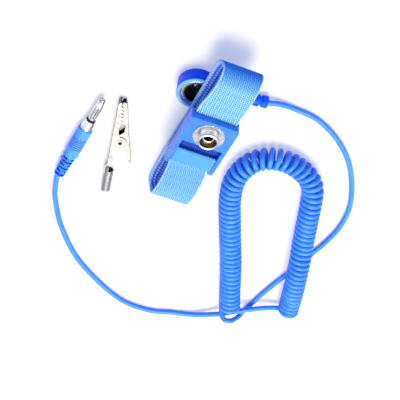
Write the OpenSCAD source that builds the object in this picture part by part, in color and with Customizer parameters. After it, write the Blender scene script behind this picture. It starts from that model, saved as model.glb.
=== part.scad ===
// Wrist strap for electronics work: an elastic band with a cam buckle and a snap
// stud, a curly earthing cord with a snap cap and a banana plug, and a crocodile clip.
// Millimetres, +Z up, everything lies on z = 0. X runs along the band, away from
// the snap, and Y across it. The origin lies under the middle of band and clip.

/* [Elastic band] */
// Width of the band
band_w = 21.5; // [17:0.5:25]
// Thickness of the band
band_t = 1.8; // [1.4:0.1:2.2]
// Reach of the near fold's centre line behind the stud
near_x = 36.1; // [32:0.1:44]
// Reach of the far fold's centre line in front of the stud
far_x = 53.5; // [50:0.1:62]
// Rise of the centre line at the near fold over its height under the buckle
near_rise = 2.5; // [0:0.1:3]
// Height that the snap cap gives the lower layer
cap_raise = 1; // [0.8:0.1:1.2]
// Rise of the centre line at the far fold over its height in the clamp
far_rise = 2.5; // [1:0.1:4]
// Length of the band's start end in front of the stud
head_l = 5; // [3:0.1:6]
// Length of the loose tail in front of the clamping bar
tail_l = 18.5; // [8:0.1:22]
// Lean of the whole band, which rests on the snap cap
lean = 9; // [8.6:0.1:9.4]
// Place in front of the stud where the band touches the surface
touch_x = 44; // [43:0.1:45]

/* [Buckle base] */
// Height of the buckle's underside over the band's lower face
lift = 10; // [8.5:0.1:13]
// Height of the base
base_h = 6; // [5.6:0.1:7]
// Length of the base behind the stud
base_near = 8.6; // [8.2:0.1:12]
// Length of the solid plate in front of the stud
plate_far = 7.5; // [7.2:0.1:7.8]
// Reach of the rails in front of the stud
rail_end = 26.1; // [25.6:0.1:28]
// Thickness of each rail
rail_t = 1.9; // [1.7:0.1:2.6]
// Thickness of each skirt beside the band
skirt_t = 1.2; // [0.8:0.1:1.6]
// Depth of the skirts below the base
skirt_h = 1; // [0.4:0.1:1.4]
// Length of the hollow under the base, behind the stud's middle
hollow_x = 2.5; // [2.4:0.1:3]
// Height of the hollow at the base's near edge
hollow_h = 2.6; // [2.5:0.1:3]
// Radius of the rounded rail ends
ear_r = 3.5; // [3:0.1:3.5]
// Radius of the base's corners seen from above
base_corner = 1.5; // [0.8:0.1:2.5]
// Distance of the clamping bar's round edge from the stud
bar_x = 10.4; // [10.3:0.1:10.8]
// Thickness of the clamping bar
bar_t = 1.1; // [0.9:0.1:1.3]
// Reach of the clamping bar in front of the stud
bar_end = 24.9; // [23:0.1:25.4]
// Clearance between cloth and plastic
cloth_gap = 0.05; // [0.05:0.01:0.15]
// Clearance of the band between the rails, on each side
pinch_gap = 0.1; // [0.1:0.05:0.4]

/* [Clamp lever] */
// Distance of the lever's hinge from the stud
hinge_x = 21.9; // [21.5:0.1:22.1]
// Radius of the lever's barrel
barrel_r = 1.35; // [1.3:0.05:1.6]
// Reach of the lever from its hinge to its free edge
lever_reach = 8.3; // [7.6:0.1:8.5]
// Thickness of the lever's plate
lever_t = 1.35; // [1.2:0.05:1.6]
// Radius of the lever's trunnions
trunnion_r = 0.9; // [0.7:0.05:0.95]
// Length of the lever's trunnions
trunnion_l = 1.3; // [0.9:0.1:1.4]
// Clearance around each trunnion
trunnion_gap = 0.05; // [0.03:0.01:0.1]
// Clearance between lever and rail, and at each trunnion's end
lever_side = 0.2; // [0.1:0.05:0.4]
// Clearance between the closed lever and the band
lever_gap = 0.25; // [0.2:0.05:0.4]
// Pitch of the lever's gripping ridges
ridge_pitch = 1.1; // [0.9:0.1:1.2]
// Depth of the lever's gripping ridges
ridge_h = 0.45; // [0.3:0.05:0.6]

/* [Stud and eyelet] */
// Radius of the snap stud's head
stud_r = 5; // [4.6:0.1:5.4]
// Radius of the stud's waist
stud_neck_r = 4.3; // [4.1:0.1:4.5]
// Radius of the stud's flange
flange_r = 7.5; // [6.8:0.1:7.9]
// Thickness of the stud's flange
flange_t = 0.5; // [0.4:0.1:0.8]
// Number of notches in the flange's edge
notches = 24; // [12:1:36]
// Height of the stud's head over its flange
stud_h = 3.8; // [2.6:0.1:4.2]
// Thickness of the stud's floor over the base
stud_floor = 1; // [0.7:0.1:1.2]
// Outer radius of the eyelet's barrel
eyelet_r = 2.3; // [2.1:0.1:2.5]
// Wall of the eyelet's barrel
eyelet_wall = 0.4; // [0.3:0.05:0.6]
// Radius of the eyelet's lower flange
eyelet_flange_r = 4; // [3.4:0.1:5]
// Thickness of the eyelet's lower flange
eyelet_flange_t = 0.35; // [0.25:0.05:0.5]
// Clearance of each hole that the eyelet passes
eyelet_gap = 0.05; // [0.03:0.01:0.1]
// Reach of the skin contact plate behind the stud
contact_near = 6; // [5.6:0.1:8]
// Reach of the skin contact plate in front of the stud
contact_far = 5; // [4.6:0.1:6]
// Width of the skin contact plate
contact_w = 18; // [14:0.5:20]
// Thickness of the skin contact plate
contact_t = 0.5; // [0.4:0.1:0.8]

/* [Snap cap] */
// Distance of the cap's centre behind the stud
snap_x = 8.6; // [8.2:0.1:9]
// Distance of the cap's centre to the right of the stud
snap_y = 10.9; // [10:0.1:12]
// Clearance of the socket around a stud's head
snap_gap = 0.2; // [0.1:0.05:0.3]
// Length of the socket's straight bore
socket_l = 2.3; // [2:0.1:2.6]
// Depth of the bore's mouth below the rim
socket_in = 0.9; // [0.6:0.1:1]
// Wall of the black liner
liner_wall = 1.9; // [1.7:0.05:2]
// Height of the step under the bore, down to the contact disc
liner_step = 3; // [2.8:0.1:3.2]
// Radius of the liner's lower opening
liner_hole_r = 4.2; // [3.8:0.1:4.4]
// Wall of the metal ring
ring_wall = 0.7; // [0.5:0.05:0.9]
// Depth of the ring's top below the rim
ring_in = 0.3; // [0.1:0.1:0.5]
// Wall of the cap around the ring
cap_wall = 1.3; // [0.9:0.05:1.5]
// Extra radius of the cap's rim band
rim_lip = 0.3; // [0.2:0.1:0.6]
// Height of the cap's rim band
rim_h = 1.2; // [0.8:0.1:1.8]
// Height of the cap
cap_h = 7.99; // [7.9:0.01:8.1]
// Height of the cap's straight wall
cap_straight = 7.2; // [5:0.1:7.2]
// Radius of the flat under the cap
cap_flat_r = 8.4; // [7:0.1:8.6]
// Thickness of the contact disc
disc_t = 0.4; // [0.3:0.05:0.5]
// Radius of the contact spring's dome
spring_r = 2.6; // [2.2:0.1:3.2]
// Height of the contact spring's dome
spring_h = 0.9; // [0.6:0.1:1.2]
// Thickness of the contact spring
spring_t = 0.25; // [0.2:0.05:0.4]
// Radial clearance of pressed pieces
seat_gap = 0.05; // [0.03:0.01:0.08]

/* [Snap stem] */
// Direction of the stem
stem_az = 97.8; // [97:0.1:102]
// Height of the stem's centre line
stem_z = 3.2; // [3.15:0.05:3.3]
// Radius of the stem
stem_r = 3.1; // [2.9:0.05:3.1]
// Reach of the stem from the cap's centre
stem_end = 22.2; // [20:0.1:24]
// Height of the resistor's centre line
resistor_z = 2.8; // [2.75:0.05:2.85]
// Radius of the series resistor
resistor_r = 1.1; // [0.9:0.05:1.2]
// Length of the series resistor
resistor_l = 5.5; // [4.5:0.1:7]
// Distance of the resistor from the cap's centre
resistor_s = 9; // [8:0.1:11]
// Radius of the resistor's leads
lead_r = 0.25; // [0.2:0.05:0.35]
// Clearance of the resistor in its bore
resistor_gap = 0.2; // [0.1:0.05:0.3]
// Number of rings on the snap's strain relief
relief_n = 3; // [2:1:4]
// Length of each ring
relief_l = 3; // [2.4:0.1:3.4]
// Groove between the rings
relief_gap = 1.15; // [0.8:0.05:1.6]
// Radius of the rings
relief_r = 3; // [2.6:0.1:3.1]
// Radius of the strain relief's core
relief_core_r = 2.2; // [1.8:0.1:2.5]

/* [Cord] */
// Thickness of the cord
cord_d = 2.7; // [2.6:0.05:2.7]
// Outer diameter of the curly part
coil_d = 11.4; // [10.8:0.1:11.4]

/* [Banana plug] */
// Direction from the cord to the plug's tip
plug_az = 175.5; // [174:0.5:178]
// Radius of the handle
handle_r = 3.6; // [3.4:0.1:4.4]
// Length of the handle
handle_l = 18.5; // [18:0.5:26]
// Number of fine grooves around the handle
handle_grooves = 6; // [3:1:8]
// Pitch of the handle's grooves
groove_pitch = 1.2; // [1:0.1:1.6]
// Width of each groove
groove_w = 0.4; // [0.2:0.1:0.6]
// Depth of each groove
groove_d = 0.25; // [0.15:0.05:0.4]
// Chamfer at the handle's far end
handle_chamfer = 0.4; // [0.4:0.1:1.2]
// Length of the plug's strain relief
tail_relief_l = 12.9; // [11.5:0.1:16]
// Radius of the strain relief at the handle
tail_relief_r = 3.1; // [2.9:0.1:3.6]
// Radius of the strain relief at the cord
tail_relief_r2 = 2.65; // [2.4:0.05:3.1]
// Number of slotted tiers on the strain relief
tiers = 3; // [2:1:4]
// Width of each slot
slot_w = 1.1; // [0.8:0.1:1.4]
// Radius of the core inside the slots
slot_core_r = 1.9; // [1.6:0.1:2.2]
// Radius of the metal collar at the pin
collar_r = 2.45; // [2.3:0.05:3.4]
// Radius of the metal collar at the handle
collar_wide_r = 3.05; // [2.6:0.05:3.4]
// Length of the metal collar
collar_l = 5.7; // [4:0.1:7]
// Radius of the pin's core
core_r = 1.15; // [1:0.05:1.2]
// Length of the core inside the handle
core_in = 9; // [6:0.5:12]
// Radius of the spring cage at its widest
cage_r = 2.1; // [2:0.05:2.2]
// Radius of the cage at the collar
cage_back_r = 1.85; // [1.6:0.05:1.95]
// Radius of the cage at the tip
cage_tip_r = 1.65; // [1.55:0.05:1.7]
// Wall of the cage
cage_wall = 0.3; // [0.2:0.05:0.35]
// Length of the cage's straight middle
cage_mid = 5; // [4:0.5:6]
// Length of the cage's slope at each end
cage_slope = 3.4; // [3:0.1:4]
// Number of slots in the cage
cage_slots = 4; // [3:1:6]
// Width of each slot in the cage
cage_slot_w = 0.45; // [0.3:0.05:0.6]
// Clearance of the cage at its two ends
cage_gap = 0.1; // [0.05:0.05:0.2]
// Length of the rounded tip
tip_l = 1.6; // [1.4:0.1:3.5]
// Radius of the rounded tip
tip_r = 1.5; // [1.45:0.05:1.6]

/* [Crocodile clip] */
// Direction from the rivet to the clip's tip
clip_az = 192; // [190:1:194]
// Inner width of the clip's outer jaw
jaw_w = 4; // [3.8:0.1:5.6]
// Thickness of the sheet
sheet = 0.5; // [0.4:0.05:0.6]
// Clearance between the two jaws' cheeks
cheek_gap = 0.1; // [0.08:0.01:0.2]
// Bore radius of the barrel, a press fit for the plug
socket_r = 2; // [1.95:0.05:2.05]
// Wall of the barrel
barrel_wall = 0.3; // [0.25:0.05:0.4]
// Length of the barrel
socket_len = 12.5; // [10:0.5:16]
// Distance of the barrel's mouth from the rivet
barrel_end = 31.4; // [30:0.1:35]
// Distance of the channel's back end from the rivet
channel_end = 15; // [14.5:0.1:16]
// Outer radius of the rivet's shank
rivet_r = 1.2; // [1.1:0.05:1.3]
// Wall of the rivet's shank
rivet_wall = 0.3; // [0.2:0.05:0.4]
// Radius of the rivet's heads
rivet_head_r = 1.8; // [1.6:0.1:2.2]
// Thickness of the rivet's heads
rivet_head_t = 0.3; // [0.2:0.05:0.5]
// Clearance of the rivet in the cheeks
rivet_gap = 0.05; // [0.03:0.01:0.1]
// Pitch of the teeth
tooth_pitch = 2; // [1.7:0.1:2.5]
// Height of the teeth
tooth_h = 1.1; // [0.8:0.1:1.4]
// Clearance between the closed teeth
tooth_gap = 0.3; // [0.05:0.05:0.35]
// Inner radius of the clip's spring
clip_spring_r = 1.95; // [1.8:0.05:2.1]
// Wire of the clip's spring
clip_wire = 0.5; // [0.4:0.05:0.6]
// Number of turns of the clip's spring
clip_turns = 5; // [4:1:5]

/* [Hidden] */
$fn = 64;
eps = 0.01;

// Shift from the layout's zero, under the stud, to the part's origin
set_out = [-16.7, 14.8, 0.02];

// Band: centre-line heights follow from its thickness and the buckle
lay_z = band_t / 2;
near_lay_z = lay_z + cap_raise;
under_z = lift - band_t / 2;
bar_z = lift + cloth_gap + bar_t / 2;
over_z = lift + 2 * cloth_gap + bar_t + band_t / 2;
wrap_r = (over_z - under_z) / 2;
near_crown = under_z + near_rise;
far_crown = over_z + far_rise;
base_w = band_w + 2 * (skirt_t + cloth_gap);
rail_in = base_w / 2 - rail_t;
pinch_w = 2 * (rail_in - pinch_gap);
base_top = lift + base_h;

// Lever
hinge_z = over_z + band_t / 2 + lever_gap + barrel_r;
lever_w = 2 * (rail_in - lever_side);
ridge_z = hinge_z - barrel_r;

// Stud, eyelet and skin plate
hole_r = eyelet_r + eyelet_gap;
contact_z = lift - band_t - contact_t;

// Snap cap, whose rim touches the band's lower face
socket_bore_r = stud_r + snap_gap;
liner_r = socket_bore_r + liner_wall;
ring_in_r = liner_r + seat_gap;
ring_r = ring_in_r + ring_wall;
well_r = ring_r + seat_gap;
cap_r = well_r + cap_wall;
rim_r = cap_r + rim_lip;
rim_z = cap_raise - 0.02;
bore_foot = rim_z - socket_in - socket_l;
shelf_z = bore_foot - 0.6;
disc_top = bore_foot - liner_step;
disc_z = disc_top - disc_t;
disc_r = socket_bore_r - 0.2;
pocket_r = disc_r + seat_gap;
cap_at = [touch_x - (touch_x + snap_x) * cos(lean), -snap_y, 0];
stem_start = pocket_r + 0.6;
relief_end = stem_end + relief_n * (relief_l + relief_gap);

// Plug: distances along its axis from the cord
handle_s = tail_relief_l;
collar_s = handle_s + handle_l;
cage_s = collar_s + collar_l;
cage_l = cage_mid + 2 * cage_slope;
tip_s = cage_s + cage_l + 2 * cage_gap;
plug_at = [65.9, -52.2, handle_r];

// Clip
clip_at = [35.7, -32, rivet_head_t];
jaw_h = jaw_w + 2 * sheet;
barrel_y = 2.5;
jaw_back = 4;

// Folds: control points beside the folds' outermost points
fold_run = 12.1;
near_lay_run = 10.1;
far_lay_run = 11.5;
far_crown_run = 12.5;
near_mid_z = (near_crown + near_lay_z) / 2;
far_mid_z = (far_crown + lay_z) / 2;

function dirv(a) = [cos(a), sin(a), 0];
function bez(a, b, c, d, n) = [for (i = [1:n]) let (t = i / n, u = 1 - t)
    u * u * u * a + 3 * u * u * t * b + 3 * u * t * t * c + t * t * t * d];
function arc(c, r, a0, a1, n) = [for (i = [1:n]) let (a = a0 + (a1 - a0) * i / n)
    c + r * [cos(a), sin(a)]];

clamp_x = bar_end + 1.5;
band_path = concat(
    [[head_l, under_z], [-hollow_x - 0.5, under_z]],
    bez([-hollow_x - 0.5, under_z], [-hollow_x - 3.1, under_z],
        [-hollow_x - 4.5, near_crown - 0.1], [-hollow_x - 7.1, near_crown - 0.1], 10),
    [[-near_x + fold_run, near_crown]],
    bez([-near_x + fold_run, near_crown], [-near_x + 5, near_crown],
        [-near_x, near_mid_z + 3.9], [-near_x, near_mid_z], 8),
    bez([-near_x, near_mid_z], [-near_x, near_mid_z - 3.6],
        [-near_x + 3, near_lay_z], [-near_x + near_lay_run, near_lay_z], 8),
    [[3, near_lay_z]],
    bez([3, near_lay_z], [8, near_lay_z], [11, lay_z], [16, lay_z], 8),
    bez([far_x - far_lay_run, lay_z], [far_x - 4.5, lay_z],
        [far_x, lay_z + 2.3], [far_x, far_mid_z], 8),
    bez([far_x, far_mid_z], [far_x, far_mid_z + 4.7],
        [far_x - 4.5, far_crown], [far_x - far_crown_run, far_crown], 8),
    bez([far_x - far_crown_run, far_crown], [far_x - far_crown_run - 8, far_crown],
        [clamp_x + 5.5, over_z], [clamp_x, over_z], 8),
    [[bar_x, over_z]],
    arc([bar_x, (over_z + under_z) / 2], wrap_r, 90, 270, 12),
    [[bar_x + tail_l, under_z]]);

// Unit normal to the left of an open path at point i
function step(p, i) = let (n = len(p),
    v = p[min(i + 1, n - 1)] - p[max(i - 1, 0)]) v / norm(v);
function beside(p, i, d) = let (v = step(p, i)) p[i] + d * [-v[1], v[0]];

// Rings of a round cord along a route
function sides(v) = let (s = cross(v, [0, 0, 1])) s / norm(s);
function ring(p, v, r, n) = let (s = sides(v), w = cross(s, v))
    [for (k = [0:n - 1]) let (a = 360 * (k + 0.5) / n) p + r * (cos(a) * s + sin(a) * w)];
function crom(a, b, c, d, t) = 0.5 * (2 * b + (c - a) * t
    + (2 * a - 5 * b + 4 * c - d) * t * t + (3 * b - a - 3 * c + d) * t * t * t);
function smooth(p, m) = let (n = len(p)) concat([for (i = [0:n - 2], j = [0:m - 1])
    crom(p[max(i - 1, 0)], p[i], p[i + 1], p[min(i + 2, n - 1)], j / m)], [p[n - 1]]);

module tube(p, d, n) {
    k = len(p);
    rings = [for (i = [0:k - 1]) each ring(p[i], step(p, i), d / 2, n)];
    walls = [for (i = [0:k - 2], j = [0:n - 1]) each [
        [i * n + j, i * n + (j + 1) % n, (i + 1) * n + (j + 1) % n],
        [i * n + j, (i + 1) * n + (j + 1) % n, (i + 1) * n + j]]];
    caps = [[for (j = [n - 1:-1:0]) j], [for (j = [0:n - 1]) (k - 1) * n + j]];
    polyhedron(concat(rings, [p[0], p[k - 1]]), concat(walls,
        [for (j = [0:n - 1]) [k * n, (j + 1) % n, j]],
        [for (j = [0:n - 1]) [k * n + 1, (k - 1) * n + j, (k - 1) * n + (j + 1) % n]]));
}

// Routes of the cord, from the layout's zero
lay = cord_d / 2;
exit_at = cap_at + relief_end * dirv(stem_az) + [0, 0, stem_z];
snap_route = concat([exit_at, exit_at + 2 * dirv(stem_az)],
    smooth([[-13.5, 30, 2.4], [-13.1, 37.6, lay], [-11.5, 50.5, lay], [-4, 65, lay],
        [8.6, 77.9, lay], [26.6, 87.7, lay], [41.2, 90.6, lay], [55, 89.1, lay],
        [75.5, 82.9, lay], [98.4, 75.5, lay], [112.8, 71.6, lay], [118.8, 69.7, 2.2]], 2),
    [[120.4, 68.6, 3.8], [120.9, 66.4, 6.5], [120.9, 64.1, 8.7], [120.9, 61.8, 9.6],
        [121.1, 59.5, 8.8], [120.6, 57.4, 7], [118.8, 56.4, 5.4], [116.4, 57.2, 4.6]]);
coil_route = [[116, 61.1, 5.7], [106, 56.7, 5.7], [98, 53.4, 5.7], [90, 50.1, 5.7],
    [82, 46.6, 5.7], [74, 42.8, 5.7], [66, 39.1, 5.7], [58, 35.4, 5.7], [50, 31.8, 5.7],
    [43, 29.3, 5.7], [36, 27.7, 5.7], [29, 28.3, 5.7], [22.5, 31.5, 5.7],
    [17.8, 37.5, 5.7], [16, 45, 5.7], [17.2, 52.5, 5.7], [20.5, 59.5, 5.7],
    [26, 65, 5.7], [33, 68.4, 5.7], [41, 70.9, 5.7], [50, 73.7, 5.8], [59, 76.3, 6.6],
    [68, 79.1, 8.2], [77, 81.7, 8.7], [86, 84.5, 8.2], [95, 87.2, 6.7],
    [106, 90.2, 5.7]];
plug_back = plug_at - 3 * dirv(plug_az);
plug_route = concat([[105, 87, 4.8], [106.8, 84.8, 4], [107.5, 81.9, 4.2]],
    smooth([[108.7, 78.4, 4.8], [112.3, 71.3, 5.4], [117, 64.7, 5.3], [122.9, 57.5, 4.4],
        [127.6, 51.5, 2.9], [131.6, 44.9, 1.7], [134.5, 34.6, lay], [137.5, 24.2, lay],
        [136.8, 8.9, lay], [129, -7.8, lay], [116.3, -25.5, lay], [99.4, -39.7, lay],
        [83.5, -48.3, 1.9], [74.6, -51.2, 3], plug_back], 2), [plug_at]);

module lay_out() {
    translate(set_out) children();
}

module on_band() {
    lay_out() translate([touch_x, 0, 0]) rotate([0, lean, 0]) translate([-touch_x, 0, 0])
        children();
}

module on_cap() {
    on_band() translate([-snap_x, -snap_y, 0]) children();
}

// Along the stem: local x runs from the cap's centre to the cord
module on_stem(z) {
    lay_out() translate(cap_at + [0, 0, z]) rotate([0, 0, stem_az]) rotate([0, 90, 0])
        children();
}

// Along the plug: local z runs from the cord to the tip
module on_plug() {
    lay_out() translate(plug_at) rotate([0, 0, plug_az]) rotate([0, 90, 0]) children();
}

module on_clip() {
    lay_out() translate(clip_at) rotate([0, 0, clip_az]) children();
}

// Block with rounded corners seen from above
module slab(x0, x1, w, z0, z1, r) {
    translate([0, 0, z0]) linear_extrude(z1 - z0) {
        translate([x0 + r, -w / 2]) square([x1 - x0 - 2 * r, w]);
        translate([x0, -w / 2 + r]) square([x1 - x0, w - 2 * r]);
        for (x = [x0 + r, x1 - r], y = [-w / 2 + r, w / 2 - r])
            translate([x, y]) circle(r);
    }
}

// Plate outlined in X and Z, from y0 to y1
module upright(y0, y1) {
    translate([0, y1, 0]) rotate([90, 0, 0]) linear_extrude(y1 - y0) children();
}

module elastic_band() {
    n = len(band_path);
    color("deepskyblue") on_band() difference() {
        upright(-band_w / 2, band_w / 2) polygon(concat(
            [for (i = [0:n - 1]) beside(band_path, i, band_t / 2)],
            [for (i = [n - 1:-1:0]) beside(band_path, i, -band_t / 2)]));
        translate([0, 0, contact_z]) cylinder(h = band_t + 2 * contact_t, r = hole_r);
        for (s = [-1, 1])
            translate([plate_far, s * (pinch_w / 2 + band_w) - band_w, lift])
                cube([rail_end - plate_far + 1, 2 * band_w, 2 * band_t + bar_t]);
    }
}

module rail_side() {
    translate([plate_far - 1, lift - skirt_h])
        square([rail_end - ear_r - plate_far + 1, base_h + skirt_h]);
    translate([rail_end - ear_r, lift - skirt_h]) square([ear_r, ear_r]);
    translate([rail_end - ear_r, base_top - ear_r]) circle(ear_r);
}

module buckle_base() {
    color("royalblue") on_band() difference() {
        union() {
            slab(-base_near, plate_far, base_w, lift, base_top, base_corner);
            for (s = [-1, 1]) {
                upright(s > 0 ? rail_in : -base_w / 2, s > 0 ? base_w / 2 : -rail_in)
                    rail_side();
                translate([-base_near + base_corner, s > 0 ? base_w / 2 - skirt_t : -base_w / 2,
                    lift - skirt_h])
                    cube([plate_far + base_near - base_corner, skirt_t, skirt_h + eps]);
            }
            upright(-rail_in - eps, rail_in + eps) {
                translate([bar_x, bar_z - bar_t / 2]) square([bar_end - bar_x, bar_t]);
                translate([bar_x, bar_z]) circle(bar_t / 2);
            }
        }
        for (s = [-1, 1])
            translate([plate_far - 2, s * (base_w / 2 - skirt_t - rail_t) - rail_t,
                lift - 2 * skirt_h])
                cube([rail_end, 2 * rail_t, 2 * skirt_h]);
        translate([0, 0, lift - skirt_h])
            cylinder(h = base_h + 2 * skirt_h, r = hole_r);
        translate([hinge_x, 0, hinge_z]) rotate([90, 0, 0])
            cylinder(h = lever_w + 2 * (trunnion_l + lever_side),
                r = trunnion_r + trunnion_gap, center = true);
        upright(skirt_t - base_w / 2, base_w / 2 - skirt_t)
            polygon([[-hollow_x, lift], [-base_near, lift + hollow_h],
                [-base_near - 1, lift + hollow_h], [-base_near - 1, lift - skirt_h],
                [-hollow_x, lift - skirt_h]]);
    }
}

module lever_side_view() {
    top = hinge_z + barrel_r;
    edge = hinge_x - lever_reach;
    foot = hinge_x - ridge_pitch;
    polygon(concat([[hinge_x, top], [edge + 0.9, top], [edge, top - 0.75],
        [edge + 0.4, top - lever_t - 0.2], [foot - 3.4 * ridge_pitch, top - lever_t - 0.4]],
        [for (i = [3:-1:0]) each [[foot - i * ridge_pitch, ridge_z],
            [foot - (i - 0.5) * ridge_pitch, ridge_z + ridge_h]]],
        [[hinge_x, ridge_z]]));
    translate([hinge_x, hinge_z]) circle(barrel_r);
}

module clamp_lever() {
    color("dodgerblue") on_band() {
        upright(-lever_w / 2, lever_w / 2) lever_side_view();
        translate([hinge_x, 0, hinge_z]) rotate([90, 0, 0])
            cylinder(h = lever_w + 2 * trunnion_l, r = trunnion_r, center = true);
    }
}

module snap_stud() {
    z = base_top;
    top = z + flange_t + stud_h;
    color("silver") on_band() difference() {
        rotate_extrude() polygon([[hole_r, z], [flange_r, z], [flange_r, z + flange_t],
            [stud_neck_r + 0.3, z + flange_t], [stud_neck_r, z + flange_t + 0.3],
            [stud_neck_r, top - 2], [stud_r, top - 1.5], [stud_r, top - 0.5],
            [stud_r - 0.25, top - 0.15], [stud_neck_r + 0.05, top],
            [stud_neck_r - 0.3, top - 0.2], [stud_neck_r - 0.6, top - 1.1],
            [stud_neck_r - 1, z + stud_floor + 0.4], [hole_r + 0.7, z + stud_floor],
            [hole_r, z + stud_floor]]);
        for (i = [0:notches - 1])
            rotate([0, 0, i * 360 / notches]) translate([flange_r + 0.15, 0, z - eps])
                cylinder(h = flange_t + 2 * eps, r = 0.4, $fn = 24);
    }
}

module stud_eyelet() {
    z = contact_z;
    top = base_top + stud_floor;
    bore = eyelet_r - eyelet_wall;
    color("gainsboro") on_band() rotate_extrude() polygon([
        [bore, z - eyelet_flange_t], [eyelet_flange_r, z - eyelet_flange_t],
        [eyelet_flange_r, z], [eyelet_r, z], [eyelet_r, top], [eyelet_r + 0.6, top],
        [eyelet_r + 0.6, top + 0.3], [eyelet_r + 0.3, top + 0.5],
        [bore + 0.2, top + 0.45], [bore, top + 0.2]]);
}

module skin_contact_plate() {
    color("lightgray") on_band() difference() {
        slab(-contact_near, contact_far, contact_w, contact_z, contact_z + contact_t, 1.5);
        translate([0, 0, contact_z - contact_t]) cylinder(h = 3 * contact_t, r = hole_r);
    }
}

module cap_shape() {
    a = cap_r - cap_flat_r;
    b = cap_h - cap_straight;
    rotate_extrude() polygon(concat([[0, rim_z - cap_h]],
        [for (i = [0:8]) let (t = 90 * i / 8)
            [cap_flat_r + a * sin(t), rim_z - cap_straight - b * cos(t)]],
        [[cap_r, rim_z - rim_h], [rim_r, rim_z - rim_h], [rim_r, rim_z - 0.3],
            [rim_r - 0.3, rim_z], [0, rim_z]]));
}

module snap_housing() {
    color("dodgerblue") difference() {
        union() {
            on_cap() cap_shape();
            on_stem(stem_z) translate([0, 0, stem_start])
                cylinder(h = stem_end - stem_start, r = stem_r);
        }
        on_cap() translate([0, 0, shelf_z]) cylinder(h = cap_h, r = well_r);
        on_cap() translate([0, 0, disc_z]) cylinder(h = cap_h, r = pocket_r);
        on_stem(resistor_z) translate([0, 0, pocket_r - 0.2])
            cylinder(h = stem_end, r = resistor_r + resistor_gap);
    }
}

module snap_socket_ring() {
    color("silver") on_cap() rotate_extrude() polygon([[ring_in_r, shelf_z],
        [ring_r, shelf_z], [ring_r, rim_z - ring_in - 0.2],
        [ring_r - 0.2, rim_z - ring_in], [ring_in_r + 0.2, rim_z - ring_in],
        [ring_in_r, rim_z - ring_in - 0.2]]);
}

module socket_liner() {
    mouth = rim_z - socket_in;
    color("black") on_cap() rotate_extrude() polygon([[liner_hole_r, disc_top],
        [disc_r, disc_top], [disc_r, shelf_z], [liner_r, shelf_z],
        [liner_r, mouth + 0.3], [socket_bore_r + 0.4, mouth + 0.3],
        [socket_bore_r, mouth], [socket_bore_r, bore_foot], [liner_hole_r, bore_foot]]);
}

module contact_spring() {
    color("gainsboro") on_cap() rotate_extrude() polygon([[0.6, disc_top + spring_h - spring_t],
        [spring_r * 0.6, disc_top + spring_h * 0.7 - spring_t], [spring_r - 0.5, disc_top],
        [spring_r, disc_top], [spring_r * 0.6 + 0.15, disc_top + spring_h * 0.7],
        [0.6, disc_top + spring_h]]);
}

module snap_contact_disc() {
    color("silver") on_cap() translate([0, 0, disc_z]) cylinder(h = disc_t, r = disc_r);
}

module series_resistor() {
    cap_len = 1.3;
    color("tan") on_stem(resistor_z) translate([0, 0, resistor_s]) {
        cylinder(h = resistor_l, r = resistor_r - 0.12);
        cylinder(h = cap_len, r = resistor_r);
        translate([0, 0, resistor_l - cap_len]) cylinder(h = cap_len, r = resistor_r);
    }
}

module resistor_leads() {
    color("silver") on_stem(resistor_z) {
        translate([0, 0, disc_r + seat_gap])
            cylinder(h = resistor_s - disc_r - seat_gap, r = lead_r);
        translate([0, 0, resistor_s + resistor_l])
            cylinder(h = stem_end - resistor_s - resistor_l, r = lead_r);
    }
}

module snap_strain_relief() {
    color("dodgerblue") on_stem(stem_z) {
        translate([0, 0, stem_end]) cylinder(h = relief_end - stem_end, r = relief_core_r);
        for (i = [1:relief_n])
            translate([0, 0, stem_end + i * relief_gap + (i - 1) * relief_l])
                cylinder(h = relief_l, r = relief_r);
    }
}

module cord_snap_side() {
    color("dodgerblue") lay_out() tube(snap_route, cord_d, 8);
}

module cord_coil() {
    color("dodgerblue") lay_out() tube(coil_route, coil_d, 16);
}

module cord_plug_side() {
    color("dodgerblue") lay_out() tube(plug_route, cord_d, 8);
}

module plug_strain_relief() {
    tier = tail_relief_l / tiers;
    wide = 2 * tail_relief_r;
    color("dodgerblue") on_plug() {
        cylinder(h = tail_relief_l, r = slot_core_r);
        difference() {
            cylinder(h = tail_relief_l, r1 = tail_relief_r2, r2 = tail_relief_r);
            for (i = [0:tiers - 1], k = [0, 1]) {
                z = tier * (i + 0.3 + 0.5 * k) - slot_w / 2;
                for (s = [-1, 1]) rotate([0, 0, 90 * k])
                    translate([s * (tail_relief_r + 0.9) - tail_relief_r, -wide, z])
                        cube([wide, 2 * wide, slot_w]);
            }
        }
    }
}

module plug_handle() {
    mid = handle_s + (handle_l - (handle_grooves - 1) * groove_pitch) / 2;
    color("dodgerblue") on_plug() difference() {
        union() {
            translate([0, 0, handle_s])
                cylinder(h = handle_chamfer, r1 = handle_r - handle_chamfer / 2, r2 = handle_r);
            translate([0, 0, handle_s + handle_chamfer])
                cylinder(h = handle_l - 2 * handle_chamfer, r = handle_r);
            translate([0, 0, collar_s - handle_chamfer])
                cylinder(h = handle_chamfer, r1 = handle_r, r2 = handle_r - handle_chamfer);
        }
        for (i = [0:handle_grooves - 1])
            translate([0, 0, mid + i * groove_pitch - groove_w / 2]) difference() {
                cylinder(h = groove_w, r = handle_r + 1);
                translate([0, 0, -eps])
                    cylinder(h = groove_w + 2 * eps, r = handle_r - groove_d);
            }
        translate([0, 0, collar_s - core_in])
            cylinder(h = core_in + eps, r = core_r + seat_gap);
    }
}

module plug_collar() {
    neck = 0.6;
    color("silver") on_plug() difference() {
        union() {
            translate([0, 0, collar_s])
                cylinder(h = collar_l - neck, r1 = collar_wide_r, r2 = collar_r);
            translate([0, 0, collar_s]) cylinder(h = collar_l, r = cage_back_r + 0.2);
        }
        translate([0, 0, collar_s - 1])
            cylinder(h = collar_l + 2, r = core_r + seat_gap);
    }
}

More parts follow.
